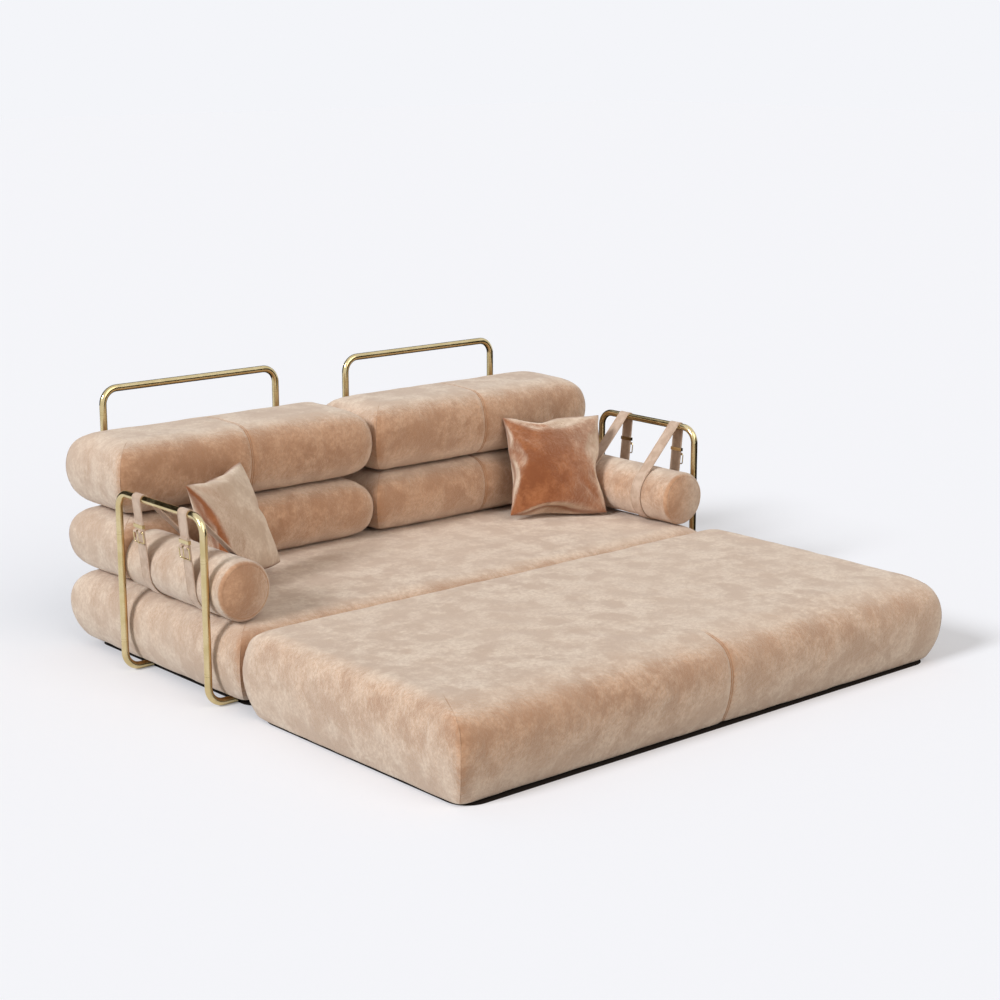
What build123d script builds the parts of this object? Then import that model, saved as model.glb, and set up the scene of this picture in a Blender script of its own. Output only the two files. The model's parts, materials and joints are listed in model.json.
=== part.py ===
"""Futon sleeper sofa: a low upholstered seat in brass tube arm and back hoops, with a slide-away front module.

Millimetres, +Z up, X across the sofa, -Y to the front. The origin is on the floor under the middle of the whole.
"""

import os
from math import acos, atan2, cos, hypot, radians, sin, sqrt

from build123d import *

# Seat module, the rear half of the bed
seat_width = 2146.0
seat_depth = 1067.0
seat_top = 276.5
seat_crown = 2.0
seat_skirt = 60.0

# Front module, the half that slides away
module_depth = 1075.0
module_under = 6.0
module_top = 293.0
module_crown = 3.0
module_gap = 0.3
module_front_shoulder = 179.0
module_front_corner = 95.0
module_shoulder = 80.0
module_corner = 66.0
module_skirt = 43.0
module_skirt_turn = 61.0
module_end_skirt = 31.0
module_end_turn = 70.0

# Upholstery: shoulders of three tangent arcs, hems of two
cover_thickness = 2.0
foam_fit = 0.4
shoulder = 105.0
seat_corner = 94.0
back_corner = 86.0
back_foot = 82.0
back_foot_corner = 74.0
side_turn = 20.0
hem_turn = 60.0
widest_share = 0.52
module_widest_share = 0.53

# Back cushions, two columns of two
back_depth = 377.0
back_end_inset = 5.0
back_lower_height = 223.5
back_upper_height = 259.0
back_crown = 3.0
column_gap = 2.0
soft_gap = 0.3

# Brass tube and the frames bent from it
tube_diameter = 25.0
tube_wall = 1.5
tube_bend = 55.0
foot_axis_height = 14.0
arm_standoff = 27.0
arm_setback = 137.0
arm_depth = 505.5
arm_top_axis = 621.0
back_hoop_top_axis = 877.5
back_hoop_span = 728.4
back_hoop_shift = 8.1
back_hoop_standoff = 5.0
lower_joint_height = 112.5
arm_joint_height = 482.0
back_joint_height = 793.0
foot_run = 360.0
tube_rest = 0.1

# Fittings inside and under the tube
collar_height = 9.0
collar_chamfer = 0.5
spigot_length = 60.0
spigot_fit = 0.1
plug_flange = 3.0
plug_length = 14.0
bolt_diameter = 8.0
bolt_head_diameter = 13.0
bolt_head_height = 4.0
bolt_reach = 45.0
bolt_hole_fit = 0.4
driver_hole = 15.0
pad_length = 60.0
pad_width = 16.0

# Timber frames and slats
rail_width = 25.0
rail_height = 60.0
seat_frame_inset = 65.0
module_frame_inset = 62.0
cross_rails = 3
slat_width = 60.0
slat_thickness = 12.0
slat_count = 13
flange_width = 40.0
closing_cloth = 1.0

# Glides and docking fittings
glide_diameter = 50.0
glide_spacing = 520.0
tongue_width = 40.0
tongue_thickness = 3.0
tongue_height = 10.0
tongue_seat = 80.0
tongue_crank = 38.0
crank_run = 30.0
tongue_reach = 110.0
tongue_fit = 0.8
tongue_spacing = 640.0
bracket_width = 62.0
bracket_depth = 80.0

# Bolsters
bolster_radius = 99.5
bolster_length = 575.0
bolster_front_reach = 60.0
bolster_dome = 11.0
bolster_edge = 6.0
bolster_leg_gap = 0.5

# Straps and buckles
strap_width = 50.0
strap_thickness = 3.0
strap_fit = 0.3
strap_spacing = 274.0
strap_front = 98.0
strap_tail_top = 545.0
strap_tail_foot = 468.0
keeper_height = 530.0
keeper_width = 12.0
keeper_wall = 2.0
buckle_top_height = 512.0
buckle_bottom_height = 475.0
buckle_width = 58.0
buckle_wire = 4.0
buckle_corner = 6.0
prong_diameter = 3.0
prong_ring_wall = 1.5
prong_ring_width = 8.0
prong_fit = 0.05
prong_overhang = 3.0
prong_slot = 11.0

# Throw pillows: side outlines at five depths, as shares of the half size and the half thickness
pillow_half = 192.0
pillow_half_thickness = 67.0
pillow_lean = 22.4
pillow_roll = 1.0
pillow_cover = 1.5
pillow_depth_shares = (0.0, 0.33, 0.6, 0.88, 1.0)
pillow_corner_shares = (1.0, 0.8, 0.6, 0.34, 0.09)
pillow_side_shares = (0.92, 0.86, 0.72, 0.45, 0.12)
pillow_pressed_shares = (0.86, 0.82, 0.7, 0.44, 0.12)
pillow_top_shares = (0.86, 0.81, 0.69, 0.43, 0.12)
pillow_front_base_shares = (1.0, 0.93, 0.78, 0.47, 0.12)
pillow_rear_base_shares = (1.0, 1.05, 1.0, 0.8, 0.2)
left_pillow = {
    "side": -1,
    "beside": 246.5,
    "ahead": 186.0,
    "up": 195.2,
    "yaw": 29.0,
    "roll": pillow_roll,
    "left": pillow_side_shares,
    "right": pillow_side_shares,
}
right_pillow = {
    "side": 1,
    "beside": 242.5,
    "ahead": 157.0,
    "up": 192.0,
    "yaw": -27.0,
    "roll": -pillow_roll,
    "left": pillow_side_shares,
    "right": pillow_pressed_shares,
}

overrun = 5.0

# Places worked out from the sizes above
total_depth = module_depth + module_gap + seat_depth + back_hoop_standoff + tube_diameter
module_front = -total_depth / 2
module_back = module_front + module_depth
seat_front = module_back + module_gap
seat_back = seat_front + seat_depth
tube_radius = tube_diameter / 2
bore_radius = tube_radius - tube_wall
seat_under = foot_axis_height + tube_radius + tube_rest
seat_floor = seat_under + cover_thickness
module_floor = module_under + cover_thickness
arm_x = seat_width / 2 + arm_standoff
arm_front = seat_front + arm_setback
arm_back = arm_front + arm_depth
hoop_y = seat_back + back_hoop_standoff + tube_radius
back_front = seat_back - back_depth
back_width = (seat_width - column_gap) / 2 - back_end_inset
back_x = (back_width + column_gap) / 2
back_hoop_outer = back_x - back_hoop_shift + back_hoop_span / 2
back_hoop_inner = back_hoop_outer - back_hoop_span
seat_centre = (0, (seat_front + seat_back) / 2)
module_centre = (0, (module_front + module_back) / 2)
seat_frame_half = (seat_width / 2 - seat_frame_inset, seat_depth / 2 - seat_frame_inset)
module_frame_half = (seat_width / 2 - module_frame_inset, module_depth / 2 - module_frame_inset)


def save(part, name):
    """Label a finished piece and write its file."""
    part.label = name
    export_step(part, f"parts/{name}.step")


def shoulder_arcs(reach, rise, corner, turn):
    """Top, corner and side arcs of a rounded shoulder, each a radius and a turn, fitted to its reach and rise."""
    s = sin(radians(turn))
    c = cos(radians(turn))
    level = reach - corner * (c - s)
    upright = rise - corner * (c - s)
    spread = s * s - (1 - c) * (1 - c)
    side = (upright * s - level * (1 - c)) / spread
    top = (level * s - upright * (1 - c)) / spread
    return [(top, turn), (corner, 90 - 2 * turn), (side, turn)]


def hem_arcs(reach, rise, turn):
    """Side and hem arcs of a side that leads down and under, each a radius and a turn."""
    s = sin(radians(turn))
    c = cos(radians(turn))
    spread = s * c - (1 - s) * (1 - c)
    hem = (reach * c - rise * (1 - s)) / spread
    side = (rise * s - reach * (1 - c)) / spread
    return [(side, 90 - turn), (hem, turn)]


def bun_sketch(plane, half, low, high, crown, sides, inset):
    """Outline of an upholstered block: crowned top, then a shoulder's reach and the arcs on either side."""
    with BuildSketch(plane) as outline:
        with BuildLine():
            top = []
            foot = []
            for way, (reach, arcs) in zip((-1, 1), sides):
                start = Vector(way * (half - reach), high - crown - inset)
                heading = Vector(way, 0)
                top.append(start)
                for radius, turn in arcs:
                    arc = JernArc(start, heading, radius - inset, -way * turn)
                    start = arc @ 1
                    heading = arc % 1
                foot.append(start)
            ThreePointArc(top[0], (0, high - inset), top[1])
            Line(foot[0], foot[1])
        make_face()
    return outline.sketch


def bun(size, low, high, centre, crown, ends, faces, inset):
    """An upholstered block whose front and side outlines meet in sewn, mitred corners, drawn in by inset."""
    front_plane = Plane(origin=(centre[0], centre[1], 0), x_dir=(1, 0, 0), z_dir=(0, -1, 0))
    side_plane = Plane(origin=(centre[0], centre[1], 0), x_dir=(0, 1, 0), z_dir=(1, 0, 0))
    with BuildPart() as form:
        front = bun_sketch(front_plane, size[0] / 2, low, high, crown, ends, inset)
        extrude(front, amount=size[1], both=True)
        profile = bun_sketch(side_plane, size[1] / 2, low, high, crown, faces, inset)
        extrude(profile, amount=size[0], both=True, mode=Mode.INTERSECT)
    return form.part


def seat_bun(inset):
    """The seat module's upholstered block."""
    edge = seat_top - seat_crown
    middle = seat_under + (edge - seat_under) * widest_share
    arcs = shoulder_arcs(shoulder, edge - middle, seat_corner, side_turn)
    side = (shoulder, arcs + hem_arcs(seat_skirt, middle - seat_under, hem_turn))
    size = (seat_width, seat_depth)
    return bun(size, seat_under, seat_top, seat_centre, seat_crown, (side, side), (side, side), inset)


def module_bun(inset):
    """The front module's upholstered block: a long slope in front, tighter shoulders behind and at the ends."""
    edge = module_top - module_crown
    middle = module_under + (edge - module_under) * module_widest_share
    slope = shoulder_arcs(module_front_shoulder, edge - middle, module_front_corner, side_turn)
    turn = shoulder_arcs(module_shoulder, edge - middle, module_corner, side_turn)
    hem = hem_arcs(module_skirt, middle - module_under, module_skirt_turn)
    end = (module_shoulder, turn + hem_arcs(module_end_skirt, middle - module_under, module_end_turn))
    faces = ((module_front_shoulder, slope + hem), (module_shoulder, turn + hem))
    size = (seat_width, module_depth)
    return bun(size, module_under, module_top, module_centre, module_crown, (end, end), faces, inset)


def back_bun(side, low, high, foot, foot_corner, inset):
    """A back cushion, rounded above and below."""
    edge = high - back_crown
    middle = low + (edge - low) * widest_share
    arcs = shoulder_arcs(shoulder, edge - middle, back_corner, side_turn)
    outline = (shoulder, arcs + shoulder_arcs(foot, middle - low, foot_corner, side_turn)[::-1])
    centre = (side * back_x, seat_back - back_depth / 2)
    size = (back_width, back_depth)
    return bun(size, low, high, centre, back_crown, (outline, outline), (outline, outline), inset)


def underside_cut(centre, half, margin, low):
    """The block that opens a cover's underside inside its turned-under edge."""
    with BuildPart() as block:
        with BuildSketch(Plane((centre[0], centre[1], low - overrun))):
            Rectangle(2 * (half[0] - margin), 2 * (half[1] - margin))
        extrude(amount=2 * overrun)
    return block.part


def frame_envelope(centre, half, low, high):
    """The space that a foam core leaves for the frame and its slats."""
    with BuildPart() as block:
        with BuildSketch(Plane((centre[0], centre[1], low - overrun))):
            Rectangle(2 * (half[0] + foam_fit), 2 * (half[1] + foam_fit))
        extrude(amount=high + foam_fit - low + overrun)
    return block.part


def cloth_panel(centre, half, high):
    """The closing cloth that fills a cover's open underside, stapled to the frame above it."""
    margin = flange_width + foam_fit
    with BuildPart() as cloth:
        with BuildSketch(Plane((centre[0], centre[1], high - closing_cloth))):
            Rectangle(2 * (half[0] - margin), 2 * (half[1] - margin))
        extrude(amount=closing_cloth)
    return cloth.part


def box_frame(centre, half, low):
    """A timber box frame of four rails with cross rails between them."""
    with BuildPart() as frame:
        with BuildSketch(Plane((centre[0], centre[1], low))):
            Rectangle(2 * half[0], 2 * half[1])
            Rectangle(2 * (half[0] - rail_width), 2 * (half[1] - rail_width), mode=Mode.SUBTRACT)
            with GridLocations(2 * half[0] / (cross_rails + 1), 0, cross_rails, 1):
                Rectangle(rail_width, 2 * half[1] - rail_width)
        extrude(amount=rail_height)
    return frame.part


def slat_deck(centre, half, low):
    """Flat slats laid from the front rail to the back rail."""
    with BuildPart() as deck:
        with BuildSketch(Plane((centre[0], centre[1], low))):
            with GridLocations((2 * half[0] - slat_width) / (slat_count - 1), 0, slat_count, 1):
                Rectangle(slat_width, 2 * half[1])
        extrude(amount=slat_thickness)
    return deck.part


def tube_section(plane):
    """The tube's ring section on a plane."""
    with BuildSketch(plane) as ring:
        Circle(tube_radius)
        Circle(bore_radius, mode=Mode.SUBTRACT)
    return ring.sketch


def bent_tube(points):
    """A length of brass tube through points, bent at each corner."""
    with BuildPart() as piece:
        with BuildLine() as route:
            FilletPolyline(*points, radius=tube_bend)
        sweep(tube_section(Plane(origin=route.line @ 0, z_dir=route.line % 0)), path=route.line)
    return piece.part


def foot_tube(x, y, run_x, run_y):
    """A foot: down from its joint, round the bend and along under the seat, drilled for its bolt."""
    tip = (x + run_x * foot_run, y + run_y * foot_run, foot_axis_height)
    bolt = (-run_x * side_rail_x, y) if run_x else (x, rear_rail_y)
    with BuildPart() as foot:
        add(bent_tube([(x, y, lower_joint_height - collar_height / 2), (x, y, foot_axis_height), tip]))
        with BuildSketch(Plane((bolt[0], bolt[1], foot_axis_height))):
            Circle(bolt_diameter / 2 + bolt_hole_fit)
        extrude(amount=tube_diameter, mode=Mode.SUBTRACT)
        with BuildSketch(Plane((bolt[0], bolt[1], foot_axis_height))):
            Circle(driver_hole / 2)
        extrude(amount=-tube_diameter, mode=Mode.SUBTRACT)
    return foot.part


os.makedirs("parts", exist_ok=True)

# Legs of the tube frames: place of each and the direction its foot runs in
arm_legs = [(side * arm_x, y, -side, 0) for side in (-1, 1) for y in (arm_front, arm_back)]
back_legs = [(side * x, hoop_y, 0, -1) for side in (-1, 1) for x in (back_hoop_outer, back_hoop_inner)]
side_rail_x = seat_frame_half[0] - rail_width / 2
front_rail_y = seat_centre[1] - seat_frame_half[1] + rail_width / 2
rear_rail_y = seat_centre[1] + seat_frame_half[1] - rail_width / 2
bolt_places = [(side * side_rail_x, y) for side in (-1, 1) for y in (arm_front, arm_back)]
bolt_places += [(side * x, rear_rail_y) for side in (-1, 1) for x in (back_hoop_outer, back_hoop_inner)]
head_top = foot_axis_height + sqrt(bore_radius**2 - (bolt_head_diameter / 2) ** 2) - spigot_fit
bolt_tip = head_top + bolt_reach
seat_slats_low = seat_floor + rail_height
seat_slats_high = seat_slats_low + slat_thickness
module_slats_low = module_floor + rail_height
module_slats_high = module_slats_low + slat_thickness

# Seat module
with BuildPart() as seat_cover:
    add(seat_bun(0))
    add(seat_bun(cover_thickness), mode=Mode.SUBTRACT)
    add(underside_cut(seat_centre, seat_frame_half, flange_width, seat_under), mode=Mode.SUBTRACT)
    with BuildSketch(Plane.XY.offset(seat_under - overrun)):
        with Locations(*bolt_places):
            Circle(bolt_diameter / 2 + bolt_hole_fit)
    extrude(amount=2 * overrun, mode=Mode.SUBTRACT)
save(seat_cover.part, "seat_cover")

with BuildPart() as seat_foam:
    add(seat_bun(cover_thickness + foam_fit))
    add(frame_envelope(seat_centre, seat_frame_half, seat_under, seat_slats_high), mode=Mode.SUBTRACT)
save(seat_foam.part, "seat_foam")

with BuildPart() as seat_frame:
    add(box_frame(seat_centre, seat_frame_half, seat_floor))
    with BuildSketch(Plane.XY.offset(seat_floor - overrun)):
        with Locations(*bolt_places):
            Circle(bolt_diameter / 2 + bolt_hole_fit)
    extrude(amount=bolt_tip - seat_floor + 2 * overrun, mode=Mode.SUBTRACT)
save(seat_frame.part, "seat_frame")

with BuildPart() as seat_slats:
    add(slat_deck(seat_centre, seat_frame_half, seat_slats_low))
save(seat_slats.part, "seat_slats")

with BuildPart() as seat_closing_cloth:
    add(cloth_panel(seat_centre, seat_frame_half, seat_floor))
save(seat_closing_cloth.part, "seat_closing_cloth")

with BuildPart() as seat_glides:
    with BuildSketch(Plane.XY):
        for rail_y in (front_rail_y, rear_rail_y):
            with Locations((0, rail_y)):
                with GridLocations(glide_spacing, 0, 3, 1):
                    Circle(glide_diameter / 2)
    extrude(amount=seat_under)
save(seat_glides.part, "seat_glides")

# Front module
with BuildPart() as module_cover:
    add(module_bun(0))
    add(module_bun(cover_thickness), mode=Mode.SUBTRACT)
    add(underside_cut(module_centre, module_frame_half, flange_width, module_under), mode=Mode.SUBTRACT)
save(module_cover.part, "module_cover")

with BuildPart() as module_foam:
    add(module_bun(cover_thickness + foam_fit))
    add(frame_envelope(module_centre, module_frame_half, module_under, module_slats_high), mode=Mode.SUBTRACT)
save(module_foam.part, "module_foam")

with BuildPart() as module_frame:
    add(box_frame(module_centre, module_frame_half, module_floor))
save(module_frame.part, "module_frame")

with BuildPart() as module_slats:
    add(slat_deck(module_centre, module_frame_half, module_slats_low))
save(module_slats.part, "module_slats")

with BuildPart() as module_closing_cloth:
    add(cloth_panel(module_centre, module_frame_half, module_floor))
save(module_closing_cloth.part, "module_closing_cloth")

with BuildPart() as module_glides:
    with BuildSketch(Plane((module_centre[0], module_centre[1], 0))):
        with GridLocations(glide_spacing, 2 * module_frame_half[1] - rail_width, 3, 2):
            Circle(glide_diameter / 2)
    extrude(amount=module_under)
save(module_glides.part, "module_glides")

# Docking tongues on the front module and their brackets under the seat
tongue_low = module_under - tongue_thickness
tongue_start = module_back - module_frame_inset - tongue_seat
crank_start = module_back - tongue_crank
crank_end = crank_start + crank_run
tongue_tip = module_back + tongue_reach
with BuildPart() as dock_tongues:
    for side in (-1, 1):
        with BuildSketch(Plane(origin=(side * tongue_spacing, 0, 0), x_dir=(0, 1, 0), z_dir=(1, 0, 0))):
            with BuildLine():
                Polyline(
                    (tongue_start, tongue_low),
                    (crank_start, tongue_low),
                    (crank_end, tongue_height),
                    (tongue_tip, tongue_height),
                    (tongue_tip, tongue_height + tongue_thickness),
                    (crank_end, tongue_height + tongue_thickness),
                    (crank_start, module_under),
                    (tongue_start, module_under),
                    close=True,
                )
            make_face()
        extrude(amount=tongue_width / 2, both=True)
save(dock_tongues.part, "dock_tongues")

bracket_underside = tongue_height - tongue_fit - tongue_thickness
with BuildPart() as dock_brackets:
    with BuildSketch(Plane((0, front_rail_y, bracket_underside))):
        with GridLocations(2 * tongue_spacing, 0, 2, 1):
            Rectangle(bracket_width, bracket_depth)
    extrude(amount=seat_under - bracket_underside)
    with BuildSketch(Plane((0, front_rail_y, tongue_height - tongue_fit))):
        with GridLocations(2 * tongue_spacing, 0, 2, 1):
            Rectangle(tongue_width + 2 * tongue_fit, bracket_depth + 2 * overrun)
    extrude(amount=tongue_thickness + 2 * tongue_fit, mode=Mode.SUBTRACT)
save(dock_brackets.part, "dock_brackets")

# Back cushions
lower_low = seat_top + soft_gap
lower_high = lower_low + back_lower_height
upper_low = lower_high + soft_gap
upper_high = upper_low + back_upper_height
rows = (
    ("lower", lower_low, lower_high, back_foot, back_foot_corner),
    ("upper", upper_low, upper_high, shoulder, back_corner),
)
for column, side in (("left", -1), ("right", 1)):
    for row, low, high, foot, foot_corner in rows:
        with BuildPart() as back_cover:
            add(back_bun(side, low, high, foot, foot_corner, 0))
            add(back_bun(side, low, high, foot, foot_corner, cover_thickness), mode=Mode.SUBTRACT)
        save(back_cover.part, f"{column}_{row}_back_cover")
        with BuildPart() as back_foam:
            add(back_bun(side, low, high, foot, foot_corner, cover_thickness + foam_fit))
        save(back_foam.part, f"{column}_{row}_back_foam")

# Tube frames
for name, side in (("left", -1), ("right", 1)):
    with BuildPart() as arm_hoop:
        hoop_foot = arm_joint_height + collar_height / 2
        add(
            bent_tube(
                [
                    (side * arm_x, arm_front, hoop_foot),
                    (side * arm_x, arm_front, arm_top_axis),
                    (side * arm_x, arm_back, arm_top_axis),
                    (side * arm_x, arm_back, hoop_foot),
                ]
            )
        )
    save(arm_hoop.part, f"{name}_arm_hoop")
    with BuildPart() as back_hoop:
        hoop_foot = back_joint_height + collar_height / 2
        add(
            bent_tube(
                [
                    (side * back_hoop_outer, hoop_y, hoop_foot),
                    (side * back_hoop_outer, hoop_y, back_hoop_top_axis),
                    (side * back_hoop_inner, hoop_y, back_hoop_top_axis),
                    (side * back_hoop_inner, hoop_y, hoop_foot),
                ]
            )
        )
    save(back_hoop.part, f"{name}_back_hoop")
    for frame, legs, joint in (("arm", arm_legs, arm_joint_height), ("back", back_legs, back_joint_height)):
        own = [leg for leg in legs if leg[0] * side > 0]
        with BuildPart() as leg_pair:
            for x, y, run_x, run_y in own:
                section = tube_section(Plane((x, y, lower_joint_height + collar_height / 2)))
                extrude(section, amount=joint - lower_joint_height - collar_height)
        save(leg_pair.part, f"{name}_{frame}_legs")
        with BuildPart() as foot_pair:
            for x, y, run_x, run_y in own:
                add(foot_tube(x, y, run_x, run_y))
        save(foot_pair.part, f"{name}_{frame}_feet")

# Spigots with flush collars at every joint of the tube
joint_places = [(leg[0], leg[1], z) for leg in arm_legs for z in (lower_joint_height, arm_joint_height)]
joint_places += [(leg[0], leg[1], z) for leg in back_legs for z in (lower_joint_height, back_joint_height)]
with BuildPart() as tube_spigots:
    for x, y, z in joint_places:
        with BuildSketch(Plane((x, y, z))):
            Circle(bore_radius - spigot_fit)
        extrude(amount=spigot_length / 2, both=True)
        with BuildSketch(Plane((x, y, z))):
            Circle(tube_radius)
        extrude(amount=collar_height / 2, both=True)
    rims = tube_spigots.edges().filter_by(GeomType.CIRCLE).filter_by(lambda e: abs(e.radius - tube_radius) < spigot_fit)
    chamfer(rims, collar_chamfer)
save(tube_spigots.part, "tube_spigots")

# End plugs, bolts and pads of the feet
with BuildPart() as foot_plugs:
    for x, y, run_x, run_y in arm_legs + back_legs:
        tip = Plane((x + run_x * foot_run, y + run_y * foot_run, foot_axis_height), z_dir=(run_x, run_y, 0))
        with BuildSketch(tip):
            Circle(tube_radius)
        extrude(amount=plug_flange)
        with BuildSketch(tip):
            Circle(bore_radius - spigot_fit)
        extrude(amount=-plug_length)
save(foot_plugs.part, "foot_plugs")

with BuildPart() as foot_bolts:
    with BuildSketch(Plane.XY.offset(head_top - bolt_head_height)):
        with Locations(*bolt_places):
            Circle(bolt_head_diameter / 2)
    extrude(amount=bolt_head_height)
    with BuildSketch(Plane.XY.offset(head_top)):
        with Locations(*bolt_places):
            Circle(bolt_diameter / 2)
    extrude(amount=bolt_reach)
save(foot_bolts.part, "foot_bolts")

pad_height = foot_axis_height - tube_radius
near_pad = arm_x - side_rail_x + driver_hole + pad_length / 2
with BuildPart() as foot_pads:
    with BuildSketch(Plane.XY):
        for along in (near_pad, foot_run - pad_length / 2):
            with Locations(*[(x + run_x * along, y) for x, y, run_x, run_y in arm_legs]):
                Rectangle(pad_length, pad_width)
            with Locations(*[(x, y + run_y * along) for x, y, run_x, run_y in back_legs]):
                Rectangle(pad_width, pad_length)
    extrude(amount=pad_height)
save(foot_pads.part, "foot_pads")

# Bolsters
bolster_x = arm_x - tube_radius - bolster_leg_gap - bolster_radius
bolster_z = seat_top - seat_crown + soft_gap + strap_thickness + strap_fit + bolster_radius
bolster_y = arm_front - bolster_front_reach + bolster_length / 2


def bolster(side, inset):
    """A round bolster with sewn edges and slightly domed ends, drawn in by inset."""
    radius = bolster_radius - inset
    rim = bolster_radius - bolster_edge
    half = bolster_length / 2 - inset
    middle = (side * bolster_x, bolster_y, bolster_z)
    with BuildPart() as roll:
        with BuildSketch(Plane(origin=middle, x_dir=(1, 0, 0), z_dir=(0, 0, 1))):
            with BuildLine():
                dome = TangentArc((0, half + bolster_dome), (rim, half), tangent=(1, 0))
                turn = TangentArc((rim, half), (radius, half + rim - radius), tangent=(1, 0))
                side_line = Line((radius, 0), (radius, half + rim - radius))
                mirror(dome, about=Plane.XZ)
                mirror(turn, about=Plane.XZ)
                mirror(side_line, about=Plane.XZ)
                Line((0, half + bolster_dome), (0, -half - bolster_dome))
            make_face()
        revolve(axis=Axis(middle, (0, 1, 0)))
    return roll.part


for name, side in (("left", -1), ("right", 1)):
    with BuildPart() as bolster_cover:
        add(bolster(side, 0))
        add(bolster(side, cover_thickness), mode=Mode.SUBTRACT)
    save(bolster_cover.part, f"{name}_bolster_cover")
    with BuildPart() as bolster_core:
        add(bolster(side, cover_thickness + foam_fit))
    save(bolster_core.part, f"{name}_bolster_core")

# Straps: each is a belt round the arm's top bar and the bolster, with its ends joined on the outer run
bar_wrap = tube_radius + strap_fit
roll_wrap = bolster_radius + strap_fit
run_x = bolster_x - arm_x
run_z = bolster_z - arm_top_axis
run_angle = atan2(run_z, run_x) + acos((bar_wrap - roll_wrap) / hypot(run_x, run_z))
outward_x = cos(run_angle)
outward_z = sin(run_angle)


def belt_outline(side, y, layer):
    """Outline of the belt round the bar and the bolster, layer millimetres off its inside."""
    with BuildSketch(Plane(origin=(0, y, 0), x_dir=(1, 0, 0), z_dir=(0, -1, 0))) as belt:
        with Locations((side * arm_x, arm_top_axis)):
            Circle(bar_wrap + layer)
        with Locations((side * bolster_x, bolster_z)):
            Circle(roll_wrap + layer)
        make_hull()
    return belt.sketch


def run_plane(side, y, height, layer):
    """A plane on the outer run, layer millimetres off the belt's inside: x along the width, z out of the sofa."""
    out = arm_x + (bar_wrap + layer - (height - arm_top_axis) * outward_z) / outward_x
    return Plane(origin=(side * out, y, height), x_dir=(0, side, 0), z_dir=(side * outward_x, 0, outward_z))


def across_plane(face):
    """A plane at right angles to the strap's width: x out of the sofa, y up the run."""
    return Plane(origin=face.origin, x_dir=face.z_dir, z_dir=-face.x_dir)


ring_outer = buckle_wire / 2 + prong_fit + prong_ring_wall
bar_layer = 2 * strap_thickness + strap_fit + ring_outer
fold_height = buckle_wire + 2 * (strap_fit + strap_thickness)
fold_depth = bar_layer - strap_thickness * 3 / 2
buckle_height = (buckle_top_height - buckle_bottom_height) / outward_x
tail_run = (strap_tail_top - strap_tail_foot) / outward_x
tail_width = strap_width - 2 * strap_thickness
ear_width = (tail_width - prong_slot) / 2
strap_places = [("front", arm_front + strap_front), ("rear", arm_front + strap_front + strap_spacing)]
for name, side in (("left", -1), ("right", 1)):
    for row, y in strap_places:
        top = run_plane(side, y, buckle_top_height, bar_layer)
        with BuildPart() as strap:
            extrude(belt_outline(side, y, strap_thickness), amount=strap_width / 2, both=True)
            extrude(belt_outline(side, y, 0), amount=strap_width, both=True, mode=Mode.SUBTRACT)
            with BuildSketch(run_plane(side, y, strap_tail_foot, strap_thickness / 2)):
                with Locations((0, tail_run / 2)):
                    Rectangle(tail_width, tail_run)
            extrude(amount=strap_thickness * 3 / 2)
            for end in (-1, 1):
                with BuildSketch(across_plane(top).offset(end * prong_slot / 2)):
                    Circle(fold_height / 2)
                    with Locations((-fold_depth / 2, 0)):
                        Rectangle(fold_depth, fold_height)
                extrude(amount=end * ear_width)
            with BuildSketch(across_plane(top)):
                Circle(buckle_wire / 2 + strap_fit)
            extrude(amount=strap_width, both=True, mode=Mode.SUBTRACT)
        save(strap.part, f"{name}_{row}_strap")

        with BuildPart() as prong:
            with BuildSketch(across_plane(top)):
                Circle(ring_outer)
            extrude(amount=prong_ring_width / 2, both=True)
            rod_lift = buckle_wire / 2 + prong_fit + prong_diameter / 2
            with BuildSketch(Plane(origin=top.origin + top.z_dir * rod_lift, x_dir=top.x_dir, z_dir=-top.y_dir)):
                Circle(prong_diameter / 2)
            extrude(amount=buckle_height + prong_overhang)
            with BuildSketch(across_plane(top)):
                Circle(buckle_wire / 2 + prong_fit)
            extrude(amount=prong_ring_width, both=True, mode=Mode.SUBTRACT)
        save(prong.part, f"{name}_{row}_prong")

with BuildPart() as strap_buckles:
    for side in (-1, 1):
        for row, y in strap_places:
            face = run_plane(side, y, (buckle_top_height + buckle_bottom_height) / 2, bar_layer)
            with BuildLine(face) as loop:
                FilletPolyline(
                    (buckle_width / 2, buckle_height / 2),
                    (buckle_width / 2, -buckle_height / 2),
                    (-buckle_width / 2, -buckle_height / 2),
                    (-buckle_width / 2, buckle_height / 2),
                    radius=buckle_corner,
                    close=True,
                )
            with BuildSketch(Plane(origin=loop.line @ 0, z_dir=loop.line % 0)):
                Circle(buckle_wire / 2)
            sweep(path=loop.line)
save(strap_buckles.part, "strap_buckles")

keeper_width_inside = strap_width + 2 * strap_fit
keeper_depth_inside = 2 * strap_thickness + 2 * strap_fit
with BuildPart() as strap_keepers:
    for side in (-1, 1):
        for row, y in strap_places:
            face = run_plane(side, y, keeper_height, strap_thickness)
            with BuildSketch(Plane(origin=face.origin, x_dir=face.x_dir, z_dir=face.y_dir)):
                Rectangle(keeper_width_inside + 2 * keeper_wall, keeper_depth_inside + 2 * keeper_wall)
                Rectangle(keeper_width_inside, keeper_depth_inside, mode=Mode.SUBTRACT)
            extrude(amount=keeper_width / 2, both=True)
save(strap_keepers.part, "strap_keepers")


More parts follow.
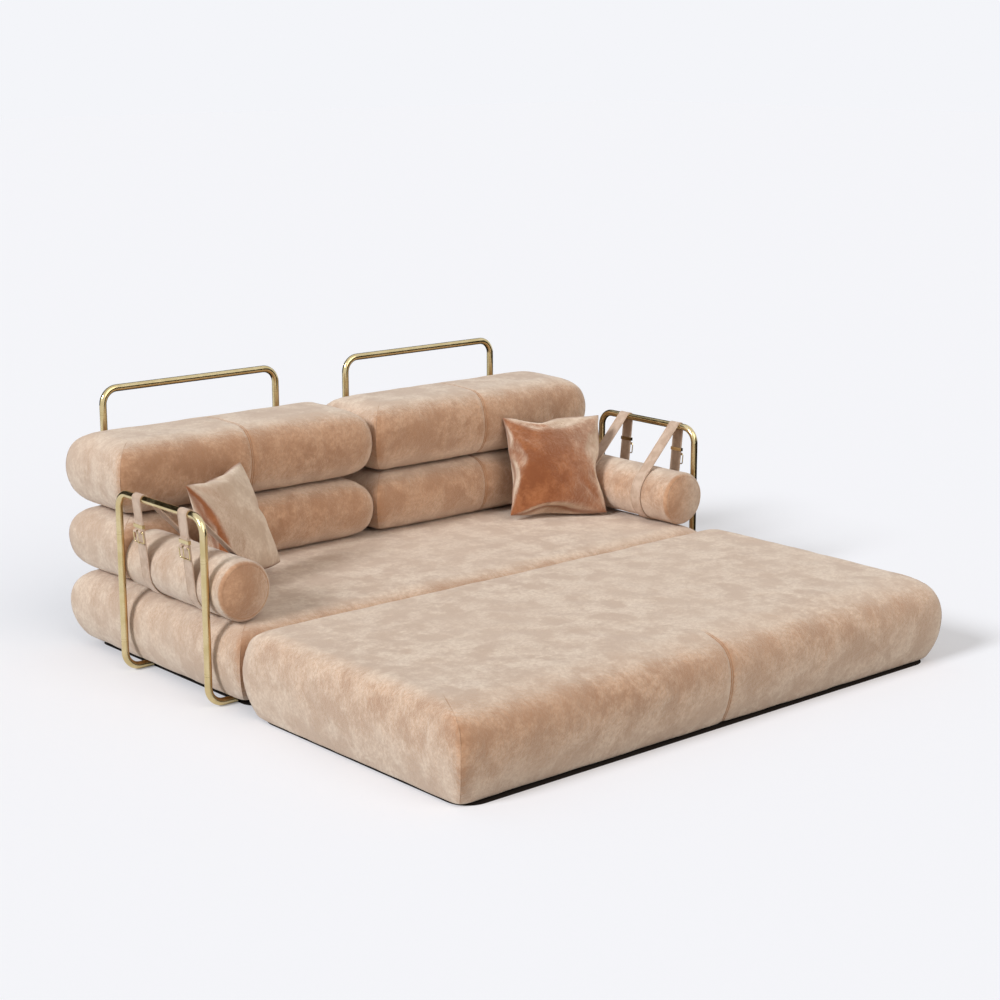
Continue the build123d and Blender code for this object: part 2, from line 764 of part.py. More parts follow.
# Throw pillows
def pillow(place, inset):
    """A knife-edged pillow leaning back on the back cushions, its rear belly on the seat, drawn in by inset."""
    half = pillow_half - inset
    thickness = pillow_half_thickness - inset
    yaw = radians(place["yaw"])
    lean = radians(pillow_lean)
    facing = Vector(sin(yaw) * cos(lean), -cos(yaw) * cos(lean), sin(lean))
    across = Vector(cos(yaw), sin(yaw), 0).rotate(Axis((0, 0, 0), facing), place["roll"])
    middle_x = place["side"] * (bolster_x - place["beside"])
    middle = Vector(middle_x, back_front - place["ahead"], seat_top + place["up"])
    with BuildPart() as form:
        for face, base_shares in ((1, pillow_front_base_shares), (-1, pillow_rear_base_shares)):
            upright_shares = zip(pillow_corner_shares, pillow_top_shares, base_shares)
            level_shares = zip(pillow_depth_shares, place["left"], place["right"])
            for (depth, left, right), (corner, top, base) in zip(level_shares, upright_shares):
                level = Plane(origin=middle, x_dir=across, z_dir=facing).offset(face * thickness * depth)
                with BuildSketch(level):
                    with BuildLine():
                        corner_at = half * corner
                        ThreePointArc((-corner_at, corner_at), (0, half * top), (corner_at, corner_at))
                        ThreePointArc((corner_at, corner_at), (half * right, 0), (corner_at, -corner_at))
                        if abs(base - corner) * half < foam_fit:
                            Line((corner_at, -corner_at), (-corner_at, -corner_at))
                        else:
                            ThreePointArc((corner_at, -corner_at), (0, -half * base), (-corner_at, -corner_at))
                        ThreePointArc((-corner_at, -corner_at), (-half * left, 0), (-corner_at, corner_at))
                    make_face()
            loft()
    return form.part


for name, place in (("left", left_pillow), ("right", right_pillow)):
    with BuildPart() as pillow_skin:
        add(pillow(place, 0))
        add(pillow(place, pillow_cover), mode=Mode.SUBTRACT)
    save(pillow_skin.part, f"{name}_pillow_cover")
    with BuildPart() as pillow_filling:
        add(pillow(place, pillow_cover + foam_fit))
    save(pillow_filling.part, f"{name}_pillow_filling")
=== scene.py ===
import json
from math import acos, atan2, cos, pi, radians, sin, sqrt

import bpy
import numpy as np
from mathutils import Matrix, Vector


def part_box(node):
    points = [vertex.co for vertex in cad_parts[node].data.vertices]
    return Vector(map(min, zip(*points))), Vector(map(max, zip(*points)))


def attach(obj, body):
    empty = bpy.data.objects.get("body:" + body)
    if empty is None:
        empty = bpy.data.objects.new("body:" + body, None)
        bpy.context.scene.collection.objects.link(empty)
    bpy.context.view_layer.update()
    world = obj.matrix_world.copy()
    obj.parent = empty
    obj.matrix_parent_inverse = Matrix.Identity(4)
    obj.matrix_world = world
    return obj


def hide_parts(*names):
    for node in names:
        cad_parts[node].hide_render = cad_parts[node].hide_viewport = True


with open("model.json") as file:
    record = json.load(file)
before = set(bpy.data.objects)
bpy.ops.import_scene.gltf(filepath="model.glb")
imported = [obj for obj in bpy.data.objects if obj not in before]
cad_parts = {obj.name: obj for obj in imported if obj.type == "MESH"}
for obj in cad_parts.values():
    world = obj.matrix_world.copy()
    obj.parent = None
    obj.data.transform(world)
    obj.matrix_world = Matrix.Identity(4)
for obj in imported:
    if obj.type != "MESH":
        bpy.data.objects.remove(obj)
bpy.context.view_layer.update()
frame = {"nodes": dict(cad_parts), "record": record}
nodes = frame["nodes"]

# Camera: angles in degrees, lens and sensor in millimetres
camera_place = (-4.425, -5.10815, 2.103)
camera_pitch = 13.06
camera_yaw = -40.98
camera_lens = 73.17
camera_sensor = 36.0
camera_reach = 200.0

# Light and background: a share is part of the light on level ground, sizes and heights are in degrees
key_height = 32.0
key_share = 0.40
key_size = 16.0
key_tint = (0.97, 1.0, 1.04)
fill_height = 35.0
fill_share = 0.20
fill_size = 50.0
fill_tint = (1.09, 1.0, 0.91)
backdrop = (0.905, 0.913, 0.947)
floor_width = 80.0
floor_bounce = 0.5
shadow_lift = 0.2

# Painted shadows: dark patches laid on the floor under the blocks, with insets from their left, right, front
# and back, and corner radius
seat_shadow_patch = (0.080, 0.06, 0.06, 0.06)
seat_shadow_corner = 0.05
module_shadow_patch = (0.034, 0.038, 0.025, 0.045)
module_shadow_corner = 0.075
patch_height = 0.0004
shadow_patch_colour = (0.032, 0.026, 0.023)
patch_corner_steps = 8

# Dark panels for the metal's reflections: centre, facing, width and height
flags = {
    "flag_behind": ((1.0, 6.0, 3.2), (0, -1, 0), 16.0, 6.4),
    "flag_floor": ((5.1, 0.0, 0.001), (0, 0, 1), 12.0, 12.0),
    "flag_right": ((3.5, -4.5, 1.4), (-0.4, 1, 0), 7.0, 3.4),
}
flag_colour = (0.02, 0.015, 0.01)

# How far the surface is turned from the eye where the velvet's painted sheen, a paler colour mixed in by that
# turn, starts and is full
block_painted_sheen = (0.12, 0.58)
pillow_painted_sheen = (0.02, 0.46)

# Upholstery: shoulders of three tangent arcs, hems of two, turns in degrees
shoulder = 0.105
side_turn = 20.0
hem_turn = 60.0
widest_share = 0.52
seat_corner = 0.094
seat_crown = 0.002
seat_skirt = 0.060
seat_frame_inset = 0.065
back_corner = 0.086
back_foot = 0.082
back_foot_corner = 0.074
back_crown = 0.003
module_crown = 0.003
module_front_shoulder = 0.179
module_front_corner = 0.095
module_shoulder = 0.080
module_corner = 0.066
module_skirt = 0.043
module_skirt_turn = 61.0
module_end_skirt = 0.031
module_end_turn = 70.0
module_widest_share = 0.53
module_frame_inset = 0.062
module_seam_shift = 0.017
flange_width = 0.040
cover_thickness = 0.002
cover_play = 1.05

# Numbers of a block's sides, and a distance from any seam that is out of its reach
front_side = 0
top_side = 4
no_seam = 1.0

# Mesh steps on the blocks, finer at their seams
corner_round = 0.064
corner_share = 0.25
block_step = 0.015
level_step = 0.007
seam_step = 0.0016
seam_reach = 0.024
arc_steps = 60
marks_between = 500

# Depths and widths of seams and folds, widths of the painted shade and nap wear that darken the colour at
# seams, and the lengths of uneven waves
groove_depth = 0.0016
groove_width = 0.0022
dip_depth = 0.0018
dip_width = 0.012
pucker_depth = 0.0012
pucker_length = 0.026
pucker_width = 0.028
pucker_gap = dip_width / 3
pucker_drift = 31
pucker_drift_depth = 2
pucker_phase = 6
double_seam = 0.0075
double_groove_depth = 1.4 * groove_depth
double_groove_width = groove_width * 0.7
corner_seam_start = 0.05
middle_seam_start = 0.03
middle_seam_fade = 0.06
# Widths of painted shade and nap wear beside corner seams and stitched lines
corner_shade_and_wear = 0.003
line_shade_and_wear = 0.0025
wave_count = 24
unevenness = 0.0022
block_waves = (0.5, 0.09)

# Bolsters: mesh steps are the usual one, the one at a seam and how far that reaches
bolster_dome = 0.011
bolster_round = 0.015
bolster_around = 168
bolster_turn_steps = 14
cap_steps = (0.005, 0.0015, 0.006)
roll_steps = (0.006, 0.0025, 0.02)
end_seam_depth = 0.0005
end_seam_width = 0.0022
# A share of painted shade and nap wear at a bolster's end seams
end_seam_shade_and_wear = 0.1
fold_depth = 0.0005
fold_place = 0.008
fold_width = 0.010
folds_around = 38
fold_drifts = (5, 11)
fold_drift_depths = (3, 2)
bolster_unevenness = 0.0020
bolster_waves = (0.3, 0.08)

# Straps: a stitch has rings at shares of its length, each of a share of its radius
strap_width = 0.050
strap_thickness = 0.003
strap_fit = 0.0003
bar_arc_steps = 48
roll_arc_steps = 96
stitch_margin = 0.0045
stitch_length = 0.0042
stitch_gap = 0.0022
stitch_radius = 0.00045
stitch_breadth = 1.3
stitch_around = 6
stitch_rings = ((0.0, 0.35), (0.12, 1.0), (0.88, 1.0), (1.0, 0.35))

# Throw pillows
pillow_half = 0.192
pillow_half_thickness = 0.067
pillow_lean = 22.4
pillow_grid = 64
sheet_lift = 0.012
sheet_gap = 0.0005
least_lift = 0.9
lift_play = 0.2
lift_waves = (0.5, 0.15)
sheet_play = 0.004
sheet_waves = (0.3, 0.1)
pillow_frames = 22
pillow_pressure = 6.0
pillow_smoothing = 10
pillow_corner_points = 4
belly_growth = 0.35
rest_gap = 0.0005
# Width of painted shade and nap wear along a pillow's hem
hem_shade_and_wear = 0.012
pillow_cloth = {
    "quality": 8,
    "mass": 0.3,
    "tension_stiffness": 80,
    "compression_stiffness": 80,
    "shear_stiffness": 27,
    "bending_stiffness": 0.3,
    "tension_damping": 10,
    "compression_damping": 10,
    "shear_damping": 10,
    "air_damping": 3,
    "use_pressure": True,
    "uniform_pressure_force": pillow_pressure,
}
pillow_places = {
    "left": {"side": -1, "beside": 0.2465, "ahead": 0.186, "up": 0.1952, "yaw": 29.0, "roll": 1.0},
    "right": {"side": 1, "beside": 0.2425, "ahead": 0.157, "up": 0.192, "yaw": -27.0, "roll": -1.0},
}

# Seeds of the random unevenness
seat_seed = 11
module_seed = 17
first_cushion_seed = 41
cushion_seed_step = 7
bolster_seeds = {"left": 31, "right": 37}
pillow_seeds = {"left": 3, "right": 8}
sheet_seed_step = 5


def stations(length, breaks, step, fine, reach):
    """Distances from 0 to length, meeting each break and closer together near it."""
    marks = np.array(sorted([0.0, *breaks, length]))
    found = [0.0]
    for start, end in zip(marks[:-1], marks[1:]):
        path = np.linspace(start, end, marks_between)
        near = np.abs(path[:, None] - marks).min(1)
        density = 1 / step + (1 / fine - 1 / step) * np.exp(-((near / reach) ** 2))
        total = np.concatenate([[0], np.cumsum((density[1:] + density[:-1]) / 2 * np.diff(path))])
        count = max(2, round(total[-1]))
        found.extend(np.interp(np.linspace(0, total[-1], count + 1)[1:], total, path))
    return np.array(found)


def lengths_along(x, y):
    """Distances along a line of points, from its start."""
    return np.concatenate([[0], np.cumsum(np.hypot(np.diff(x), np.diff(y)))])


def shoulder_arcs(reach, rise, corner, turn):
    """Top, corner and side arcs of a shoulder, each a radius and a turn, fitted to its reach and rise."""
    s = sin(radians(turn))
    c = cos(radians(turn))
    level = reach - corner * (c - s)
    upright = rise - corner * (c - s)
    spread = s * s - (1 - c) * (1 - c)
    side = (upright * s - level * (1 - c)) / spread
    top = (level * s - upright * (1 - c)) / spread
    return [(top, turn), (corner, 90 - 2 * turn), (side, turn)]


def hem_arcs(reach, rise, turn):
    """Side and hem arcs of a side that leads down and under, each a radius and a turn."""
    s = sin(radians(turn))
    c = cos(radians(turn))
    spread = s * c - (1 - s) * (1 - c)
    hem = (reach * c - rise * (1 - s)) / spread
    side = (rise * s - reach * (1 - c)) / spread
    return [(side, 90 - turn), (hem, turn)]


def drawn(outline):
    """Drops below the top's edge and the insets there, down an outline of a reach and its arcs."""
    inset, arcs = outline
    drop = 0.0
    heading = 0.0
    drops = [drop]
    insets = [inset]
    for radius, turn in arcs:
        angles = np.radians(heading + np.linspace(0, turn, arc_steps + 1)[1:])
        start = radians(heading)
        drops.extend(drop + radius * (cos(start) - np.cos(angles)))
        insets.extend(inset - radius * (np.sin(angles) - sin(start)))
        heading += turn
        drop = drops[-1]
        inset = insets[-1]
    return np.array(drops), np.array(insets)


def levels(outline, step):
    """Drops at even distances along an outline, and those distances."""
    drops, insets = drawn(outline)
    along = lengths_along(drops, insets)
    runs = np.linspace(0, along[-1], round(along[-1] / step) + 1)
    return np.interp(runs, along, drops), runs


def edge_places(across, along):
    """Shares of width and depth round a rectangle, anticlockwise from its front left, and their sides."""
    front = [(x, 0.0, 0) for x in across[:-1]]
    right = [(1.0, y, 1) for y in along[:-1]]
    back = [(x, 1.0, 2) for x in across[:0:-1]]
    left = [(0.0, y, 3) for y in along[:0:-1]]
    return np.array(front + right + back + left)


def grid_edge(columns, rows):
    """Numbers of the grid's edge points in the order of edge_places."""
    front = [i * rows for i in range(columns - 1)]
    right = [(columns - 1) * rows + j for j in range(rows - 1)]
    back = [i * rows + rows - 1 for i in range(columns - 1, 0, -1)]
    left = list(range(rows - 1, 0, -1))
    return front + right + back + left


def turned(ring):
    """The points of a ring, from its second round to its first."""
    return ring[1:] + ring[:1]


def eased(points, low, high, corner):
    """Points of a rectangle with its corners rounded by a share, so that a crease is left."""
    centre = np.clip(points, low + corner, high - corner)
    offset = (points - centre) / corner
    rounded = np.sqrt(1 - offset[:, ::-1] ** 2 / 2)
    return centre + corner * offset * (1 + corner_share * (rounded - 1))


def undulation(points, seed, longest, shortest):
    """Soft unevenness between 0 and 1, from seeded plane waves of lengths between the two."""
    draw = np.random.default_rng(seed)
    total = np.zeros(len(points))
    for _ in range(wave_count):
        heading = draw.normal(size=3)
        heading /= np.linalg.norm(heading)
        length = longest * (shortest / longest) ** draw.random()
        total += np.sin(points @ heading * 2 * pi / length + draw.random() * 2 * pi)
    return 0.5 + 0.5 * np.tanh(total / sqrt(wave_count / 2))


def bell(distance, width):
    """A soft bump, 1 at no distance."""
    return np.exp(-((distance / width) ** 2))


def seam_depth(gap, run, seed):
    """How far a single sewn seam and its puckers draw the fabric in."""
    draw = np.random.default_rng(seed)
    drift = pucker_drift_depth * np.sin(run * pucker_drift + draw.random() * pucker_phase)
    wave = np.sin(run * 2 * pi / pucker_length + drift)
    puckers = pucker_depth * (0.5 + 0.5 * wave) * bell(gap, pucker_width) * (1 - bell(gap, pucker_gap))
    return groove_depth * bell(gap, groove_width) + dip_depth * bell(gap, dip_width) + puckers


def double_seam_depth(gap, run, seed):
    """How far a sewn joint with a stitched line on either side draws the fabric in."""
    lines = np.minimum(np.abs(gap - double_seam / 2), np.abs(gap + double_seam / 2))
    dip = seam_depth(np.abs(gap), run, seed) - groove_depth * bell(gap, groove_width)
    return dip + double_groove_depth * bell(lines, double_groove_width)


def make_object(name, points, faces):
    """A smooth mesh object."""
    mesh = bpy.data.meshes.new(name)
    mesh.from_pydata([tuple(p) for p in points], [], faces)
    mesh.update()
    mesh.shade_smooth()
    piece = bpy.data.objects.new(name, mesh)
    bpy.context.scene.collection.objects.link(piece)
    return piece


def normals_of(mesh):
    """The mesh's point normals."""
    found = np.zeros(len(mesh.vertices) * 3)
    mesh.vertex_normals.foreach_get("vector", found)
    return found.reshape(-1, 3)


def points_of(mesh):
    """The mesh's points."""
    found = np.zeros(len(mesh.vertices) * 3)
    mesh.vertices.foreach_get("co", found)
    return found.reshape(-1, 3)


def set_points(mesh, points):
    """Move the mesh's points."""
    mesh.vertices.foreach_set("co", points.ravel())
    mesh.update()


def draw_in(piece, points, depth):
    """Move a piece's points inwards from their places, each by its depth."""
    set_points(piece.data, points - normals_of(piece.data) * depth[:, None])


def set_seam_shade_and_wear(mesh, values):
    """Keep how near each point lies to a seam, for the painted seam shade and nap wear in the fabric's
    colour.
    """
    wear = mesh.attributes.new("seam_near", "FLOAT", "POINT")
    wear.data.foreach_set("value", values.astype(np.float32))


def layer(flat, height, corner_gap, middle_gap, run, side):
    """One layer of a block: points, distances from its seams, distance along its outline, and side."""
    return np.column_stack(np.broadcast_arrays(*flat.T, height, corner_gap, middle_gap, run, side))


def top_layer(low, high, edge, crown, spots, seam_at):
    """A block's top, crowned above its edge."""
    flat = eased(low + spots * (high - low), low, high, corner_round)
    spread = 2 * (flat - low) / (high - low) - 1
    height = edge + crown * (1 - spread[:, 0] ** 2) * (1 - spread[:, 1] ** 2)
    return layer(flat, height, no_seam, flat[:, 0] - seam_at, flat[:, 1] - low[1], top_side)


def side_layer(low, high, places, height, run, seam_at):
    """A ring of points round a block's sides, its run counted down from the top's edge as a minus."""
    square = low + places[:, :2] * (high - low)
    ring = eased(square, low, high, corner_round)
    corner_gap = np.minimum(square - low, high - square).max(1)
    return layer(ring, height, corner_gap, ring[:, 0] - seam_at, run, places[:, 2])


def recess_layers(low, high, recess, places):
    """The rim where a block's cover ends underneath, and the same rim just above the cover's thickness."""
    inner_low = np.array([low.x + recess, low.y + recess])
    inner_high = np.array([high.x - recess, high.y - recess])
    square = inner_low + places[:, :2] * (inner_high - inner_low)
    heights = (low.z, low.z + cover_thickness * cover_play)
    return [layer(square, height, no_seam, no_seam, 0.0, places[:, 2]) for height in heights]


def block_faces(columns, rows, rings):
    """A block's faces: its top's grid, a band down to each ring in turn, and the last ring closed."""
    faces = []
    for i in range(columns - 1):
        for j in range(rows - 1):
            spot = i * rows + j
            faces.append((spot, spot + rows, spot + rows + 1, spot + 1))
    upper = grid_edge(columns, rows)
    for k in range(rings):
        start = columns * rows + k * len(upper)
        lower = list(range(start, start + len(upper)))
        faces.extend(zip(upper, lower, turned(lower), turned(upper)))
        upper = lower
    faces.append(tuple(reversed(upper)))
    return faces


def block_depth(points, measures, seam_sides, seed):
    """How far each point of a block is drawn in, and how near it lies to a seam, for painted seam shade and
    nap wear.

    Corner seams start a little below the top, and so does a middle seam that isn't on the top too.
    """
    corner_gap, middle_gap, run, side = measures
    on_corner = np.clip(-run / corner_seam_start, 0, 1) * (side != top_side)
    on_middle = np.isin(side, seam_sides).astype(float)
    if top_side not in seam_sides:
        on_middle *= np.clip((-run - middle_seam_start) / middle_seam_fade, 0, 1)
    depth = unevenness * undulation(points, seed, *block_waves)
    depth += seam_depth(corner_gap, run, seed + 1) * on_corner
    depth += double_seam_depth(middle_gap, run, seed + 2) * on_middle
    lines = np.abs(np.abs(middle_gap) - double_seam / 2)
    # Painted shade and nap wear beside corner seams and stitched lines
    near = np.maximum(bell(corner_gap, corner_shade_and_wear) * on_corner, bell(lines, line_shade_and_wear) * on_middle)
    return depth, near


def block(name, box, crown, ends, faces, seam_sides, recess, seed, seam_shift=0.0):
    """An upholstered block with mitred corner seams and a middle seam on the sides named for it.

    Ends are the outlines at the left and right, and faces those at the front and back, where the longest
    reach sets the levels. A recess is the width of the cover's rim underneath.
    """
    low, high = box
    width = high.x - low.x
    depth = high.y - low.y
    across = stations(width, [width / 2 + seam_shift], block_step, seam_step, seam_reach) / width
    along = stations(depth, [], block_step, seam_step, seam_reach) / depth
    places = edge_places(across, along)
    drops, runs = levels(max(faces, key=lambda outline: outline[0]), level_step)
    insets = [np.interp(drops, *drawn(outline)) for outline in (*ends, *faces)]
    lows = np.stack([low.x + insets[0], low.y + insets[2]], 1)
    highs = np.stack([high.x - insets[1], high.y - insets[3]], 1)

    edge = high.z - crown
    seam_at = (low.x + high.x) / 2 + seam_shift
    spots = np.array([(x, y) for x in across for y in along])
    layers = [top_layer(lows[0], highs[0], edge, crown, spots, seam_at)]
    for k in range(1, len(drops)):
        layers.append(side_layer(lows[k], highs[k], places, edge - drops[k], -runs[k], seam_at))
    if recess:
        layers.extend(recess_layers(low, high, recess, places))

    table = np.concatenate(layers)
    points = table[:, :3].copy()
    piece = make_object(name, points, block_faces(len(across), len(along), len(layers) - 1))
    sunk, near = block_depth(points, table[:, 3:].T.copy(), seam_sides, seed)
    if recess:
        sunk[-2 * len(places):] = 0
    draw_in(piece, points, sunk)
    set_seam_shade_and_wear(piece.data, near)
    return piece


def bolster_outline(radius, half):
    """A bolster's outline from its rear cap to its front cap: distances from its axis and along it."""
    rim = radius - bolster_round
    flat_half = half - bolster_round
    dome = (rim**2 + bolster_dome**2) / (2 * bolster_dome)
    cap = [(r, half + bolster_dome - dome + sqrt(dome**2 - r**2)) for r in stations(rim, [], *cap_steps)]
    turns = [radians(90 * k / bolster_turn_steps) for k in range(1, bolster_turn_steps + 1)]
    turn = [(rim + bolster_round * sin(t), flat_half + bolster_round * cos(t)) for t in turns]
    roll = [(radius, flat_half - s) for s in stations(2 * flat_half, [], *roll_steps)[1:-1]]
    end = cap[1:] + turn
    return end + roll + [(r, -a) for r, a in reversed(end)]


def bolster_faces(rings):
    """A bolster's faces: bands from ring to ring, and a fan to the middle of each cap."""
    ring = list(range(bolster_around))
    middle = rings * bolster_around
    faces = []
    for _ in range(rings - 1):
        following = [spot + bolster_around for spot in ring]
        faces.extend(zip(ring, turned(ring), turned(following), following))
        ring = following
    for k in range(bolster_around):
        n = (k + 1) % bolster_around
        faces.append((middle, n, k))
        faces.append((middle + 1, ring[k], ring[n]))
    return faces


def bolster_folds(angle, seed):
    """Uneven small folds round a bolster, between 0 and 1."""
    slow = fold_drift_depths[0] * np.sin(angle * fold_drifts[0] + seed)
    quick = fold_drift_depths[1] * np.sin(angle * fold_drifts[1])
    return 0.5 + 0.5 * np.sin(angle * folds_around + slow + quick)


def bolster(side):
    """A round bolster: a long roll with a seam at each end and a slightly domed cap."""
    low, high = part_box(f"{side}_bolster_cover")
    middle = (low + high) / 2
    radius = (high.x - low.x) / 2
    half = (high.y - low.y) / 2 - bolster_dome
    rim = radius - bolster_round
    outline = bolster_outline(radius, half)
    points = []
    for r, a in outline:
        for k in range(bolster_around):
            angle = 2 * pi * k / bolster_around
            points.append((middle.x + r * cos(angle), middle.y + a, middle.z + r * sin(angle)))
    points.append((middle.x, middle.y + half + bolster_dome, middle.z))
    points.append((middle.x, middle.y - half - bolster_dome, middle.z))
    points = np.array(points)
    piece = make_object(f"{side}_bolster_velvet", points, bolster_faces(len(outline)))

    seed = bolster_seeds[side]
    outward = np.hypot(points[:, 0] - middle.x, points[:, 2] - middle.z)
    angle = np.arctan2(points[:, 2] - middle.z, points[:, 0] - middle.x)
    from_seam = np.hypot(outward - rim, np.abs(points[:, 1] - middle.y) - half)
    on_roll = np.clip((outward - rim) / bolster_round, 0, 1)
    folds = fold_depth * bolster_folds(angle, seed) * bell(from_seam - fold_place, fold_width) * on_roll
    sunk = end_seam_depth * bell(from_seam, end_seam_width) + folds
    sunk += bolster_unevenness * undulation(points, seed, *bolster_waves)
    draw_in(piece, points, sunk)
    # Painted shade and nap wear at the end seams
    set_seam_shade_and_wear(piece.data, end_seam_shade_and_wear * bell(from_seam, corner_shade_and_wear))
    return piece


def pillow_sheets():
    """Points and faces of two square sheets sewn together at their edges."""
    n = pillow_grid
    points = []
    faces = []
    front = {}
    rear = {}
    for i in range(n + 1):
        for j in range(n + 1):
            u = 2 * i / n - 1
            v = 2 * j / n - 1
            lift = sheet_lift * (1 - u**4) * (1 - v**4) + sheet_gap
            edge = i in (0, n) or j in (0, n)
            front[i, j] = len(points)
            points.append((u * pillow_half, v * pillow_half, 0.0 if edge else lift))
            rear[i, j] = front[i, j]
            if not edge:
                rear[i, j] = len(points)
                points.append((u * pillow_half, v * pillow_half, -lift))
    for i in range(n):
        for j in range(n):
            faces.append((front[i, j], front[i + 1, j], front[i + 1, j + 1], front[i, j + 1]))
            faces.append((rear[i, j], rear[i, j + 1], rear[i + 1, j + 1], rear[i + 1, j]))
    return points, faces


def inflate(piece):
    """Fill a closed fabric piece by cloth simulation, smooth it and keep its shape."""
    cloth = piece.modifiers.new("cloth", "CLOTH")
    for key, value in pillow_cloth.items():
        setattr(cloth.settings, key, value)
    cloth.settings.effector_weights.gravity = 0
    cloth.collision_settings.use_collision = False
    cloth.collision_settings.use_self_collision = False
    cloth.point_cache.frame_start = 1
    cloth.point_cache.frame_end = pillow_frames
    softened = piece.modifiers.new("softened", "SMOOTH")
    softened.factor = 0.5
    softened.iterations = pillow_smoothing
    scene = bpy.context.scene
    for step in range(1, pillow_frames + 1):
        scene.frame_set(step)
    graph = bpy.context.evaluated_depsgraph_get()
    filled = bpy.data.meshes.new_from_object(piece.evaluated_get(graph))
    piece.modifiers.clear()
    piece.data = filled
    scene.frame_set(1)


def sized(shape):
    """A pillow's points centred, with its corners and its thickness at their sizes."""
    shape -= (shape.max(0) + shape.min(0)) / 2
    for axis in (0, 1):
        corners = np.sort(np.abs(shape[:, axis]))[-pillow_corner_points:].mean()
        shape[:, axis] *= pillow_half / corners
    shape[:, 2] *= pillow_half_thickness / np.abs(shape[:, 2]).max()
    return shape


def pillow_form(seed):
    """A filled pillow, its points with z towards its face, and how far out each is, 1 at the edge."""
    points, faces = pillow_sheets()
    start = np.array(points)
    start[:, 2] *= least_lift + lift_play * undulation(start, seed, *lift_waves)
    start[:, :2] += sheet_play * (undulation(start, seed + sheet_seed_step, *sheet_waves)[:, None] - 0.5)
    piece = make_object(f"pillow_form_{seed}", start, faces)
    outward = np.maximum(np.abs(start[:, 0]), np.abs(start[:, 1])) / pillow_half
    inflate(piece)
    return piece, sized(points_of(piece.data)), outward


def pillow(side):
    """A thrown pillow, leaning back with its rear belly on the seat."""
    place = pillow_places[side]
    piece, shape, outward = pillow_form(pillow_seeds[side])
    piece.name = f"{side}_pillow_velvet"
    low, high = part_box(f"{side}_bolster_cover")
    seat_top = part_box("seat_cover")[1].z
    back_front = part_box(f"{side}_upper_back_cover")[0].y
    middle_x = (low.x + high.x) / 2 - place["side"] * place["beside"]
    middle = Vector((middle_x, back_front - place["ahead"], seat_top + place["up"]))
    yaw = radians(place["yaw"])
    lean = radians(pillow_lean)
    facing = Vector((sin(yaw) * cos(lean), -cos(yaw) * cos(lean), sin(lean)))
    across = Matrix.Rotation(radians(place["roll"]), 3, facing) @ Vector((cos(yaw), sin(yaw), 0))
    upward = facing.cross(across)
    behind = np.clip(-shape[:, 2] / pillow_half_thickness, 0, 1)
    belly = behind * np.clip(-shape[:, 1] / pillow_half, 0, 1)
    shape[:, 1] *= 1 + belly_growth * belly
    points = np.array(middle) + shape @ np.array([across, upward, facing])
    points[:, 2] = np.maximum(points[:, 2], seat_top + rest_gap)
    set_points(piece.data, points)
    # Painted shade and nap wear along the hem
    set_seam_shade_and_wear(piece.data, bell((1 - outward) * pillow_half, hem_shade_and_wear))
    finer = piece.modifiers.new("finer", "SUBSURF")
    finer.levels = 1
    finer.render_levels = 1
    return piece


def arc_points(centre, radius, start, sweep, steps):
    """Points of an arc, with both its ends."""
    angles = [start + sweep * k / steps for k in range(steps + 1)]
    return [(centre.x + radius * cos(angle), centre.y + radius * sin(angle)) for angle in angles]


def belt_path(side, off):
    """Points round a strap's belt in X and Z, off its inside, from the bar to the bolster and back."""
    low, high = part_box(f"{side}_bolster_cover")
    hoop_low, hoop_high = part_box(f"{side}_arm_hoop")
    tube = (hoop_high.x - hoop_low.x) / 2
    bar = Vector(((hoop_low.x + hoop_high.x) / 2, hoop_high.z - tube))
    roll = Vector(((low.x + high.x) / 2, (low.z + high.z) / 2))
    bar_reach = tube + strap_fit + off
    roll_reach = (high.x - low.x) / 2 + strap_fit + off
    line = roll - bar
    toward = atan2(line.y, line.x)
    spread = acos((bar_reach - roll_reach) / line.length)
    path = arc_points(bar, bar_reach, toward + spread, 2 * pi - 2 * spread, bar_arc_steps)
    path += arc_points(roll, roll_reach, toward - spread, 2 * spread, roll_arc_steps)
    return np.array(path + path[:1])


def stitch_points(start, along, y):
    """Rings of points along one stitch, thin at its ends and broader than it is high."""
    out = np.array([along[1], -along[0]])
    points = []
    for share, size in stitch_rings:
        spot = start + along * stitch_length * share
        for m in range(stitch_around):
            turn = 2 * pi * m / stitch_around
            lift = stitch_radius * size * sin(turn)
            beside = stitch_radius * size * stitch_breadth * cos(turn)
            points.append((spot[0] + out[0] * lift, y + beside, spot[1] + out[1] * lift))
    return points


def stitch_faces(first):
    """The bands round one stitch and its two ends, from the number of its first point."""
    starts = [first + k * stitch_around for k in range(len(stitch_rings))]
    rings = [list(range(start, start + stitch_around)) for start in starts]
    faces = []
    for ring, following in zip(rings[:-1], rings[1:]):
        faces.extend(zip(ring, turned(ring), turned(following), following))
    return faces + [tuple(reversed(rings[0])), tuple(rings[-1])]


def stitches(side, row):
    """Two rows of raised stitches along a strap's edges."""
    low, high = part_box(f"{side}_{row}_strap")
    path = belt_path(side, strap_thickness)
    total = lengths_along(*path.T)
    pitch = stitch_length + stitch_gap
    points = []
    faces = []
    for k in range(int(total[-1] / pitch)):
        runs = (k * pitch, k * pitch + stitch_length)
        start, end = [np.array([np.interp(run, total, path[:, i]) for i in (0, 1)]) for run in runs]
        along = (end - start) / np.linalg.norm(end - start)
        for edge in (-1, 1):
            y = (low.y + high.y) / 2 + edge * (strap_width / 2 - stitch_margin)
            faces.extend(stitch_faces(len(points)))
            points.extend(stitch_points(start, along, y))
    return make_object(f"{side}_{row}_strap_stitches", points, faces)


# Materials: places of the mix node's sockets for colours
mix_factor = 0
mix_first = 6
mix_second = 7
mix_result = 2


